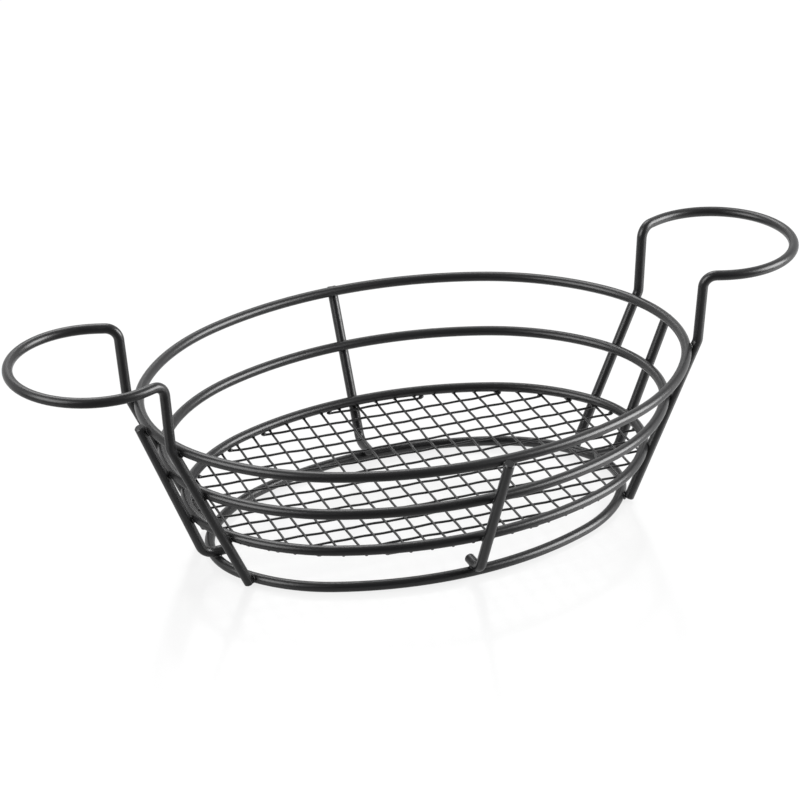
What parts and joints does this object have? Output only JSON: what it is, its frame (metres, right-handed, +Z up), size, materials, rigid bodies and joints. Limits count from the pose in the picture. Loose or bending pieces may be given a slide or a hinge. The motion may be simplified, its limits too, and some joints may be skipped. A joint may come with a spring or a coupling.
{
  "type": "wire serving basket",
  "caption": "Oval black-coated wire basket for fries or bread, with a mesh floor and a raised sauce cup ring at each end.",
  "frame": {"origin": "on the table, under the middle of the basket: the bottom centre of the box round the whole object", "axes": "+X along the basket, from the left cup holder to the right one; +Y across it, from the front to the back; +Z up"},
  "size_m": [0.4084, 0.22, 0.1195],
  "materials": {
    "black_coating": "satin black powder coat over steel wire"
  },
  "bodies": {
    "root": {"rim_ring": "black_coating", "middle_ring": "black_coating", "floor_ring": "black_coating", "base_ring": "black_coating", "rib_front": "black_coating", "rib_back": "black_coating", "rib_left": "black_coating", "rib_right": "black_coating", "holder_left": "black_coating", "holder_right": "black_coating", "mesh_cross_wires": "black_coating", "mesh_long_wires": "black_coating"}
  },
  "joints": []
}
